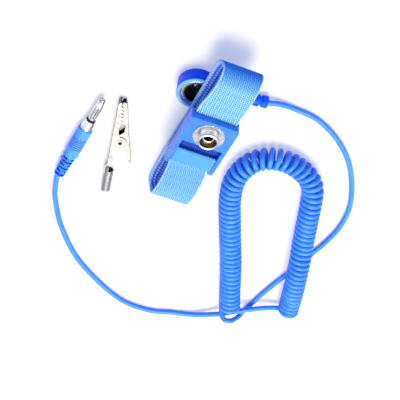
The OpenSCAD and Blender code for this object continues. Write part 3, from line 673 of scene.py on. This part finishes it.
@dataclass
class CurlyCord:
    """The cord: one line from the snap's relief through the coil to the plug's."""

    diameter: float = 2.7
    coil_diameter: float = 11.4
    leg_pitch: float = 3.0
    arch_pitch: float = 3.55
    arch_from: float = 46.0
    arch_over: float = 18.0
    points_per_turn: int = 20
    # Where the coil's ends leave it, in degrees around its line.
    phase: Pair = (100.0, 235.0)
    # The heights of the cord and of the coil's line, at points that name none.
    lying: float = 1.36
    coil_lying: float = 5.7
    snap_points: Route = (
        (-13.5, 30, 2.4), (-13.1, 37.6, 1.4), (-11.5, 50.5), (-4, 65), (8.6, 77.9),
        (26.6, 87.7), (41.2, 90.6), (55, 89.1), (75.5, 82.9), (98.4, 75.5), (112.8, 71.6),
        (118.8, 69.7, 2.2), (120.4, 68.6, 3.8), (120.9, 66.4, 6.5), (120.9, 64.1, 8.7),
        (120.9, 61.8, 9.6), (121.1, 59.5, 8.8))
    coil_points: Route = (
        (116, 61.1), (106, 56.7), (98, 53.4), (90, 50.1), (82, 46.6), (74, 42.8),
        (66, 39.1), (58, 35.4), (50, 31.8), (43, 29.3), (35.5, 27.7), (28, 28.2),
        (21, 31.3), (16.1, 37.3), (14.3, 45), (15.5, 52.7), (18.9, 59.9), (25, 65.3),
        (33, 68.4), (41, 70.9), (50, 73.7, 5.8), (59, 76.3, 6.6), (68, 79.1, 8.2),
        (77, 81.7, 8.7), (86, 84.5, 8.2), (95, 87.2, 6.7), (106, 90.2))
    plug_points: Route = (
        (107.6, 82.2, 4.2), (108.7, 78.4, 4.8), (112.3, 71.3, 5.4), (117, 64.7, 5.3),
        (122.9, 57.5, 4.4), (127.6, 51.5, 2.9), (131.6, 44.9, 1.7), (134.5, 34.6),
        (137.5, 24.2), (136.8, 8.9), (129, -7.8), (116.3, -25.5), (99.4, -39.7),
        (83.5, -48.3, 1.9), (74.6, -51.2, 3))
    stem_angle: float = 97.8
    stem_reach: float = 34.65
    stem_height: float = 3.2
    step_mm: float = 1.2
    length: float = 0.0
    exit: Point = (0.0, 0.0, 0.0)

    def coil(self) -> list[Vector]:
        """The left-handed winding around the coil's own line, wider spaced on its arch.

        Returns:
            The points of the winding, in layout millimetres.
        """
        start_turn, end_turn = self.phase
        axis = evenly(catmull(raised(self.coil_points, self.coil_lying), 0.5), 0.1)
        radius = (self.coil_diameter - self.diameter) / 2
        turns, total = [0.0], 0.0
        for a, b in zip(axis, axis[1:]):
            middle = (a + b) / 2
            arch = ease(self.arch_from - middle.x, 0.0, self.arch_over)
            pitch = self.leg_pitch + (self.arch_pitch - self.leg_pitch) * arch
            total += (b - a).length / pitch
            turns.append(total)
        rest = (end_turn - start_turn) / 360
        whole = round(total - rest) + rest
        result = []
        count = round(whole * self.points_per_turn)
        k = 0
        for i in range(count + 1):
            goal = total * i / count
            while k < len(turns) - 2 and turns[k + 1] < goal:
                k += 1
            share = (goal - turns[k]) / max(turns[k + 1] - turns[k], 1e-9)
            centre = axis[k].lerp(axis[k + 1], share)
            low, high = max(k - 8, 0), min(k + 9, len(axis) - 1)
            ahead = (axis[high] - axis[low]).normalized()
            side = ahead.cross(Vector((0, 0, 1))).normalized()
            up = side.cross(ahead)
            angle = radians(start_turn) + 2 * pi * whole * i / count
            result.append(centre + radius * (cos(angle) * up - sin(angle) * side))
        return result

    def line(self) -> list[Vector]:
        """The whole cord's centre line.

        Returns:
            Its points, in layout millimetres, from the snap's relief to the plug's.
        """
        cap_x = TOUCH_X - (TOUCH_X - CAP_AT[0]) * cos(LEAN)
        cap = Vector((cap_x, CAP_AT[1], self.stem_height))
        away = toward(self.stem_angle)
        start = cap + away * self.stem_reach
        winding = self.coil()
        first = [start, start + 2 * away] + raised(self.snap_points, self.lying)
        lead_in = catmull(first + winding[0:6:3], self.step_mm)
        end, tip = Vector(PLUG_AT), toward(PLUG_TURN)
        last = raised(self.plug_points, self.lying) + [end - 3 * tip, end]
        lead_out = catmull([winding[-4], winding[-1]] + last, self.step_mm)
        return (lead_in[:lead_in.index(winding[0])] + winding
                + lead_out[lead_out.index(winding[-1]) + 1:])

    def build(self, finish: Material) -> Piece:
        """Makes the cord as one swept curve, and notes its length and exit.

        Args:
            finish: the sheath's finish.

        Returns:
            The cord.
        """
        line = [laid(*p) for p in self.line()]
        data = bpy.data.curves.new("grounding_cord", "CURVE")
        data.dimensions = "3D"
        data.bevel_depth = self.diameter / 2 * MM
        data.bevel_resolution = 4
        data.use_fill_caps = True
        spline = data.splines.new("POLY")
        spline.points.add(len(line) - 1)
        for point, place in zip(spline.points, line):
            point.co = (*place, 1.0)
        spline.use_smooth = True
        data.materials.append(finish)
        cord = linked("grounding_cord", data)
        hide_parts("cord_snap_side", "cord_coil", "cord_plug_side")
        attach(cord, "strap_set")
        self.length = sum((b - a).length for a, b in zip(line, line[1:]))
        self.exit = tuple(line[0])
        LOG.info("cord length %.3f m in %d points", self.length, len(line))
        return cord


# ---- band

@dataclass
class ElasticBand:
    """The woven band, folded flat: one closed strip along its line in X and Z."""

    width: float = 21.5
    thickness: float = 1.8
    step_mm: float = 0.8
    near_x: float = 36.1
    far_x: float = 53.5
    under_z: float = 9.1
    over_z: float = 12.1
    bar_x: float = 10.4
    clamp_x: float = 26.4
    tail: float = 18.5
    # The upper layer is stretched, so it is narrower, and least so under the stud.
    top_width: float = 19.5
    stud_width: float = 1.4
    stud_from: Pair = (-30, -10)
    stud_to: Pair = (0, 8)
    # It lies aside by this much, and by so much more before the stud and past the bar.
    aside: Point = (0.2, 0.85, 0.7)
    bar_to: Pair = (26.2, 29.5)
    near_crown: float = 12.1
    near_lay: float = 1.9
    far_crown: float = 14.6
    # Where the cloth seen down the lever's slot gets painted shade: from X, to X, and above
    # Z.
    slot_shade_zone: Point = (6.5, 14.6, 9.6)
    # Painted shade on the near fold, which turns from the light, and a weaker one where
    # the upper layer slopes down to the bar.
    open_near: float = 0.7
    open_far: float = 0.25
    threads: int = 46
    reach: float = 0.0

    def centre_line(self) -> list[Vector]:
        """The band's centre line.

        Returns:
            Even points from its start end to its loose tail, in millimetres.
        """
        flat = self.thickness / 2
        lay, crown, far_crown = self.near_lay, self.near_crown, self.far_crown
        near_mid, far_mid = (crown + lay) / 2, (far_crown + flat) / 2
        near, far = -self.near_x, self.far_x
        curves = [
            ((-3, 9.1), (-5.6, 9.1), (-7, 11.5), (-9.6, 11.5)),
            ((-9.6, 11.5), (-14, 11.5), (-19, crown), (-25, crown)),
            ((-25, crown), (-32, crown), (near, near_mid + 4), (near, near_mid)),
            ((near, near_mid), (near, near_mid - 3.6), (near + 3, lay), (near + 10.1, lay)),
            ((3, lay), (8, lay), (11, flat), (16, flat)),
            ((far - 11.5, flat), (far - 4.5, flat), (far, flat + 2.3), (far, far_mid)),
            ((far, far_mid), (far, far_mid + 4.7), (far - 4.5, far_crown),
             (far - 12.5, far_crown)),
            ((far - 12.5, far_crown), (far - 20.5, far_crown),
             (self.clamp_x + 5.5, self.over_z), (self.clamp_x, self.over_z))]
        line = [Vector((5, 0, self.under_z))]
        for a, b, c, d in curves:
            for i in range(25):
                t = i / 24
                u = 1 - t
                x, z = (u ** 3 * p + 3 * u * u * t * q + 3 * u * t * t * r + t ** 3 * s
                        for p, q, r, s in zip(a, b, c, d))
                line.append(Vector((x, 0, z)))
        middle = (self.over_z + self.under_z) / 2
        radius = (self.over_z - self.under_z) / 2
        for i in range(25):
            a = radians(90 + 180 * i / 24)
            line.append(Vector((self.bar_x + radius * cos(a), 0,
                                middle + radius * sin(a))))
        line.append(Vector((self.bar_x + self.tail, 0, self.under_z)))
        return evenly(line, self.step_mm)

    def rim(self) -> list[tuple[float, float, Side]]:
        """The strip's cross-section.

        Returns:
            Its points as shares of the width and the thickness, each with its side.
        """
        corner = 0.035
        across = [-0.5 + corner + (1 - 2 * corner) * i / 22 for i in range(23)]
        inner = 0.5 - corner * 0.3
        edge = [(inner, 0.4), (0.5, 0.15), (0.5, -0.15), (inner, -0.4)]
        return ([(a, 0.5, Side.SKIN) for a in across]
                + [(a, b, Side.SELVAGE) for a, b in edge]
                + [(-a, -0.5, Side.OUTER) for a in across]
                + [(-a, -b, Side.SELVAGE) for a, b in edge])

    def upper(self, p: Vector) -> float:
        """One on the upper layer and zero on the lower one and the tail."""
        if -20 < p.x < 36:
            return ease(p.z, 9.3, 10.4)
        return ease(p.z, 3.0, 9.0)

    def width_at(self, p: Vector) -> float:
        """The band's width at a point of its line."""
        near_stud = ease(p.x, *self.stud_from) * (1 - ease(p.x, *self.stud_to))
        top = self.top_width + self.stud_width * near_stud
        return self.width + (top - self.width) * self.upper(p)

    def shift_at(self, p: Vector) -> float:
        """How far the band lies off its middle: the upper layer sits to one side."""
        all_along, near, far = self.aside
        return self.upper(p) * (all_along + near * (1 - ease(p.x, *self.stud_from))
                                + far * ease(p.x, *self.bar_to))

    def build(self, palette: Palette) -> Piece:
        """Makes the strip by drawing its section along the line, and notes its length.

        Args:
            palette: the finishes, of which it takes the cloth's.

        Returns:
            The band.
        """
        line = self.centre_line()
        rim = self.rim()
        place = band_frame()
        bm = bmesh.new()
        uv_u, uv_v, opened = (bm.verts.layers.float.new(name)
                              for name in ("along", "across", "open"))
        rings: list[list[Corner]] = []
        reach = 0.0
        for i, p in enumerate(line):
            ahead = (line[min(i + 1, len(line) - 1)] - line[max(i - 1, 0)]).normalized()
            normal = Vector((-ahead.z, 0, ahead.x))
            reach += (p - line[i - 1]).length if i else 0.0
            width = self.width_at(p)
            ripple = 0.04 * noise.noise(Vector((reach * 0.9, 3.1, 0)))
            # Painted shade: most at the near fold, which turns from the light, and a little
            # on the slope to the bar.
            fold_shade_share = (self.open_near * ease(-p.x, 27.5, 35.5)
                   + self.open_far * ease(p.x, 20, 28) * (1 - ease(p.x, 38, 52)))
            ring = []
            for across, thick, _ in rim:
                wave = 0.10 * noise.noise(Vector((reach * 0.16, across * 2.2, 7.7)))
                co = (p + Vector((0, across * (width + ripple) + self.shift_at(p), 0))
                      + normal * (thick * self.thickness * 0.96 + wave * 0.5))
                vert = bm.verts.new(place @ co)
                vert[uv_u], vert[uv_v], vert[opened] = reach, across * self.width, fold_shade_share
                ring.append(vert)
            rings.append(ring)
        loops = [looped(bm, ring) for ring in rings]
        for a, b in zip(loops, loops[1:]):
            ops.bridge_loops(bm, edges=a + b)
        for ring in (rings[0], rings[-1]):
            bm.faces.new(ring)
        ops.recalc_face_normals(bm, faces=bm.faces)
        side_of = {vert: side for ring in rings for vert, (_, _, side) in zip(ring, rim)}
        self.paint(bm, side_of)
        band = mesh_object("woven_elastic_band", bm, [palette[side.name] for side in Side])
        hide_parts("elastic_band")
        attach(band, "strap_set")
        self.reach = reach
        return band

    def paint(self, bm: Mesh, side_of: dict[Corner, Side]) -> None:
        """Gives each face its side's finish and its place in the weave map.

        Args:
            bm: the strip.
            side_of: each vertex's side.
        """
        uv = bm.loops.layers.uv.new("weave")
        uv_u, uv_v = (bm.verts.layers.float[name] for name in ("along", "across"))
        start, end, above = self.slot_shade_zone
        for face in bm.faces:
            kinds = {side_of[v] for v in face.verts}
            flat = len(kinds) == 1 and len(face.verts) == 4
            side = kinds.pop() if flat else Side.SELVAGE
            middle = middle_of(face, band_frame())
            # Painted shade on the cloth seen down the lever's slot.
            if start < middle.x < end and middle.z > above:
                side = Side.SHADED_IN_SLOT
            face.material_index = side.value
            for loop in face.loops:
                loop[uv].uv = (loop.vert[uv_u], loop.vert[uv_v])

    def frayed_end(self, finish: Material) -> Piece:
        """Short loose threads at the cut end of the tail.

        Args:
            finish: the threads' finish.

        Returns:
            The threads, as one piece.
        """
        rng = random.Random(11)
        bm = bmesh.new()
        for i in range(self.threads):
            y = -10.4 + 20.8 * i / (self.threads - 1) + rng.uniform(-0.2, 0.2)
            z = self.under_z + rng.uniform(-0.7, 0.7)
            start = Vector((self.bar_x + self.tail - 0.3, y, z))
            length = rng.uniform(0.7, 2.0)
            bend = Vector((0, rng.uniform(-0.6, 0.6), rng.uniform(-0.5, 0.5)))
            ring = ops.create_circle(bm, segments=5, radius=0.07, cap_ends=True)["verts"]
            turn = Matrix.Translation(start) @ Matrix.Rotation(pi / 2, 4, "Y")
            ops.transform(bm, matrix=turn, verts=ring)
            face = ring[0].link_faces[0]
            for k in range(3):
                face = ops.extrude_discrete_faces(bm, faces=[face])["faces"][0]
                shift = Vector((length / 3, 0, 0)) + bend * (k + 1) / 4
                ops.translate(bm, verts=face.verts, vec=shift)
        ops.holes_fill(bm, edges=[e for e in bm.edges if e.is_boundary], sides=8)
        set_down(bm, band_frame())
        fray = mesh_object("frayed_tail_threads", bm, [finish])
        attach(fray, "strap_set")
        return fray


# ---- hard pieces

@dataclass
class Assembly:
    """A named sub-assembly: its finishes and the pieces that it has made."""

    palette: Palette
    made: list[str] = field(default_factory=list)

    def frame(self) -> Matrix:
        """The sub-assembly's own frame in millimetres; the stud's, where none is given."""
        return band_frame()

    def within(self, zone: Point, face: Face) -> bool:
        """Whether a face lies in a zone of the frame.

        Args:
            zone: radius around Z, lower and upper height.
            face: the face.

        Returns:
            True inside it.
        """
        middle = middle_of(face, self.frame())
        radius, low, high = zone
        return middle.xy.length < radius and low < middle.z < high

    def keep(self, name: str, bm: Mesh, finishes: str, slot: str,
             body: str = "strap_set") -> Piece:
        """Makes a mesh a piece on its body and notes its name.

        Args:
            name: the new piece's name.
            bm: its mesh.
            finishes: its finishes' short names, numbered from 0.
            slot: not used.
            body: the body that it rides on.

        Returns:
            The piece.
        """
        piece = mesh_object(name, bm, [self.palette[key] for key in finishes.split()])
        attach(piece, body)
        self.made.append(name)
        LOG.info("made %s", name)
        return piece

    def dress(self, node: str, name: str, finishes: str, slot: str, round_mm: float,
              body: str = "strap_set",
              pick: Optional[Callable[[Face], int]] = None) -> None:
        """Makes a finished piece over a solid of the frame, with its edges rounded.

        Args:
            node: the solid that the piece stands for.
            name, finishes, slot, body: as for keep.
            round_mm: the radius of its edges.
            pick: gives a face's finish number.
        """
        bm = bmesh.new()
        bm.from_mesh(bpy.data.objects[node].data)
        ops.remove_doubles(bm, verts=bm.verts, dist=0.002 * MM)
        if pick is not None:
            for face in bm.faces:
                face.material_index = pick(face)
        ops.dissolve_limit(bm, angle_limit=radians(0.6), verts=bm.verts, edges=bm.edges,
                           delimit={"NORMAL", "MATERIAL"})
        piece = self.keep(name, bm, finishes, slot, body)
        soften(piece, round_mm)
        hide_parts(node)


@dataclass
class Buckle(Assembly):
    """The moulded base with its clamping bar, the cam lever and the metal skin plate."""


    def build(self) -> None:
        """Makes the base, the lever on its own body and the plate against the skin."""
        self.dress("buckle_base", "moulded_buckle_base", "buckle", "buckle_plastic",
                   round_mm=0.35)
        self.dress("clamp_lever", "moulded_clamp_lever", "lever", "buckle_plastic",
                   round_mm=0.25, body="lever")
        self.dress("skin_contact_plate", "stamped_skin_plate", "nickel", "steel_plate",
                   round_mm=0.12)


@dataclass
class SnapStud(Assembly):
    """The stud with its notched flange, and the eyelet that rivets it through the cloth."""

    # The stud's bowl, and the eyelet's hole, which gets painted shade.
    bowl: Point = (4.1, 16.8, 19.9)
    hole_shade_zone: Point = (1.99, 8.0, 99.0)

    def build(self) -> None:
        """Makes both rolled pieces."""
        self.dress("snap_stud", "rolled_snap_stud", "ring bowl", "nickel", round_mm=0.12,
                   pick=partial(self.within, self.bowl))
        # Painted shade inside the eyelet's hole.
        self.dress("stud_eyelet", "rolled_eyelet", "ring liner", "nickel", round_mm=0.1,
                   pick=partial(self.within, self.hole_shade_zone))


@dataclass
class SnapCap(Assembly):
    """The cord's cap: housing, ring, black liner, contacts, resistor and strain relief."""

    # The ring's rolled edge starts at this radius.
    edge_radius: float = 6.35

    def gets_painted_light(self, face: Face) -> bool:
        """Whether a face of the housing is its upward rim."""
        up = (band_frame().to_3x3() @ Vector((0, 0, 1))).normalized()
        # Upward faces of the rim get painted light, a paler blue.
        return up.dot(face.normal) > 0.4

    def on_edge(self, face: Face) -> bool:
        """Whether a face of the liner is under the ring's rolled metal edge."""
        away = middle_of(face, band_frame()).xy - Vector(CAP_AT)
        return away.length > self.edge_radius and face.normal.z > 0.2

    def build(self) -> None:
        """Makes the cap from the outside inward."""
        # Painted light on the rim's upward faces.
        self.dress("snap_housing", "moulded_snap_cap", "cap lip", "cap_plastic",
                   round_mm=0.3, pick=self.gets_painted_light)
        self.dress("snap_strain_relief", "moulded_snap_relief", "cap", "cap_plastic",
                   round_mm=0.3)
        self.dress("snap_socket_ring", "pressed_socket_ring", "ring", "nickel",
                   round_mm=0.12)
        # The liner's near black is partly painted shade, so that the socket reads as a deep
        # hole.
        self.dress("socket_liner", "black_socket_liner", "liner ring", "black_liner",
                   round_mm=0.12, pick=self.on_edge)
        self.dress("contact_spring", "domed_contact_spring", "ring", "nickel",
                   round_mm=0.05)
        self.dress("snap_contact_disc", "contact_disc", "nickel", "nickel", round_mm=0.05)
        self.dress("series_resistor", "one_megohm_resistor", "resistor", "resistor_body",
                   round_mm=0.2)
        self.dress("resistor_leads", "tinned_leads", "nickel", "tinned_wire",
                   round_mm=0.05)


@dataclass
class BananaPlug(Assembly):
    """The plug: slotted strain relief, grooved handle, collar, core and sprung cage."""

    # Where the black ring starts along the plug, and its outline as radius and height.
    ring_start: float = 36.55
    ring_outline: Sequence[Pair] = (
        (2.06, 0.0), (2.32, 0.0), (2.38, 0.12), (2.38, 0.5), (2.3, 0.62), (1.95, 0.62),
        (1.95, 0.5), (2.06, 0.4))
    # The zones of the relief's slots and of the handle's grooves, which get painted shade.
    relief_slot_shade: Point = (2.45, 0.4, 12.6)
    handle_groove_shade: Point = (3.52, 14.5, 30.0)

    def frame(self) -> Matrix:
        """The plug's frame: millimetres from the cord's end, with Z along its axis."""
        return (Matrix.Translation(laid(*PLUG_AT)) @ Matrix.Scale(MM, 4)
                @ Matrix.Rotation(radians(PLUG_TURN), 4, "Z")
                @ Matrix.Rotation(pi / 2, 4, "Y"))

    def dark_ring(self) -> None:
        """The thin black ring where collar meets cage."""
        bm = bmesh.new()
        ring = [bm.verts.new((r, 0, self.ring_start + h)) for r, h in self.ring_outline]
        ops.spin(bm, geom=ring + looped(bm, ring), cent=(0, 0, 0), axis=(0, 0, 1),
                 angle=2 * pi, steps=48, use_merge=True)
        ops.remove_doubles(bm, verts=bm.verts, dist=0.001)
        set_down(bm, self.frame())
        self.keep("black_collar_ring", bm, "liner", "black_liner")

    def gate_mark(self) -> None:
        """The small nib that the mould's gate leaves beside the strain relief."""
        bm = bmesh.new()
        turn = Matrix.Translation((0.2, 3.0, 9.9)) @ Matrix.Rotation(radians(-78), 4, "X")
        ops.create_cone(bm, cap_ends=True, segments=16, radius1=0.55, radius2=0.3,
                        depth=1.7, matrix=turn)
        ops.bevel(bm, geom=list(bm.edges), offset=0.1, segments=2, profile=0.5,
                  affect="EDGES", material=-1)
        set_down(bm, self.frame())
        self.keep("mould_gate_nib", bm, "relief", "plug_plastic")

    def build(self) -> None:
        """Makes the plug from the cord to its tip."""
        # Painted shade on the faces in the relief's slots and the handle's grooves.
        self.dress("plug_strain_relief", "moulded_plug_relief", "relief slot",
                   "plug_plastic", round_mm=0.18, pick=partial(self.within, self.relief_slot_shade))
        self.dress("plug_handle", "moulded_plug_handle", "plug slot", "plug_plastic",
                   round_mm=0.04, pick=partial(self.within, self.handle_groove_shade))
        self.dress("plug_collar", "turned_plug_collar", "ring", "nickel", round_mm=0.3)
        self.dress("plug_pin_core", "turned_pin_core", "nickel", "nickel", round_mm=0.08)
        self.dress("plug_spring_cage", "sprung_pin_cage", "ring", "nickel", round_mm=0.05,
                   body="cage")
        self.dark_ring()
        self.gate_mark()


@dataclass
class CrocodileClip(Assembly):
    """The clip: two folded jaws on a hollow rivet, with a torsion spring between them."""

    place: Point = (35.7, -32.0, 0.3)
    heading: float = 192.0
    depth: float = 5.0
    sheet: float = 0.5
    # Along the clip: the jaws past the barrel, and the walls that close their mouth.
    jaws: Pair = (-14.0, 24.0)
    mouth: Pair = (5.5, 22.0)
    # Across it: those walls again, and where the teeth meet.
    mouth_side: Pair = (-1.4, 3.4)
    bite: float = 2.5

    def frame(self) -> Matrix:
        """The clip's frame: millimetres from the rivet, with X along the jaws."""
        return (Matrix.Translation(laid(*self.place)) @ Matrix.Scale(MM, 4)
                @ Matrix.Rotation(radians(self.heading), 4, "Z"))

    def finish_of(self, face: Face) -> int:
        """Numbers the finish of a face of either jaw.

        Args:
            face: the face.

        Returns:
            0 outside, 1 for painted shade inside and at the teeth, and 2 for a painted dark
            reflection on a side.
        """
        middle = middle_of(face, self.frame())
        facing = (self.frame().to_3x3().inverted() @ face.normal).normalized()
        if not self.jaws[0] < middle.x < self.jaws[1]:
            return 0
        # Painted shade on the cheeks' inner faces, on the walls of the mouth and where the
        # teeth meet; a painted dark reflection on the upright sides.
        if abs(facing.z) > 0.9:
            low, high = self.sheet - 0.1, self.depth - 2 * self.sheet - 0.02
            return int(low < middle.z < high)
        (start, end), (low, high) = self.mouth, self.mouth_side
        if start < middle.x < end and low < middle.y < high:
            return 1
        shade_between = self.sheet + 0.1 < middle.z < self.depth - self.sheet - 0.1
        if shade_between and (facing.y < -0.5 if middle.y > self.bite else facing.y > 0.5):
            return 1
        return 2 if abs(facing.z) < 0.3 else 0

    def build(self) -> None:
        """Makes the jaws, the rivet and the spring."""
        # Both jaws get painted shade inside and a painted dark reflection on their sides.
        self.dress("clip_fixed_jaw", "pressed_fixed_jaw", "jaw inner cut", "nickel",
                   round_mm=0.05, pick=self.finish_of)
        self.dress("clip_moving_jaw", "pressed_moving_jaw", "jaw inner cut", "nickel",
                   round_mm=0.05, body="jaw", pick=self.finish_of)
        self.dress("clip_rivet", "rolled_rivet", "jaw", "nickel", round_mm=0.1)
        self.dress("clip_spring", "torsion_spring", "spring", "spring_steel",
                   round_mm=0.04, body="jaw")


def main() -> None:
    """Loads the frame and builds the studio, the cord, the band and the hard pieces."""
    logging.basicConfig(level=logging.INFO, format="%(name)s: %(message)s")
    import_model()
    Studio().build()
    palette = make_palette()
    cord = CurlyCord()
    sheath = cord.build(palette["sheath"])
    band = ElasticBand()
    cloth = band.build(palette)
    fray = band.frayed_end(palette["fray"])
    Buckle(palette).build()
    SnapStud(palette).build()
    SnapCap(palette).build()
    plug = BananaPlug(palette)
    plug.build()
    CrocodileClip(palette).build()


if __name__ == "__main__":
    main()
